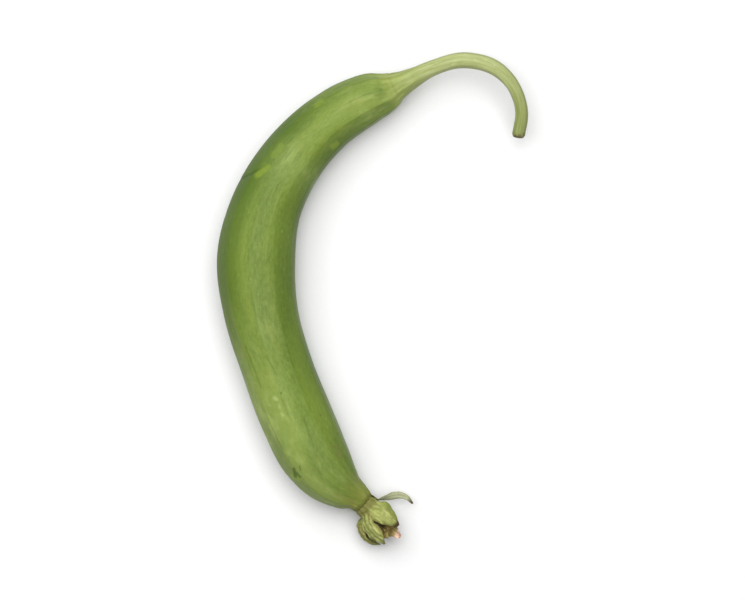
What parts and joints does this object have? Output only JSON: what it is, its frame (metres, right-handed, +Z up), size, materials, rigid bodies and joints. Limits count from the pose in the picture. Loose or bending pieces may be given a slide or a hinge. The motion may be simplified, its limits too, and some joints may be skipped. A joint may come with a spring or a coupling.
{
  "type": "sponge gourd",
  "caption": "Curved, ribbed green sponge gourd lying on its side, with a hooked cut stem at one end and a withered flower in its calyx at the other.",
  "frame": {"origin": "on the surface that the gourd lies on, below the middle of its outline seen from above", "axes": "+Z up from the surface; +Y along the gourd from the flower end towards the stem end; +X towards the side that the gourd bends and the stem hooks to"},
  "size_m": [0.1335, 0.2123, 0.0325],
  "materials": {
    "rind": "satin green rind with faint ribs",
    "stalk": "pale green, finely ridged stalk",
    "calyx": "dull yellow-green, veined",
    "petal": "withered, papery, orange brown",
    "style": "dried, dark brown"
  },
  "bodies": {
    "root": {"fruit": "rind", "stem": "stalk", "calyx_tube": "calyx", "sepal_hood": "calyx", "sepal_left": "calyx", "sepal_lower_left": "calyx", "sepal_under": "calyx", "sepal_curled": "calyx", "petal_1": "petal", "petal_2": "petal", "petal_3": "petal", "petal_4": "petal", "petal_5": "petal", "style": "style"}
  },
  "joints": []
}
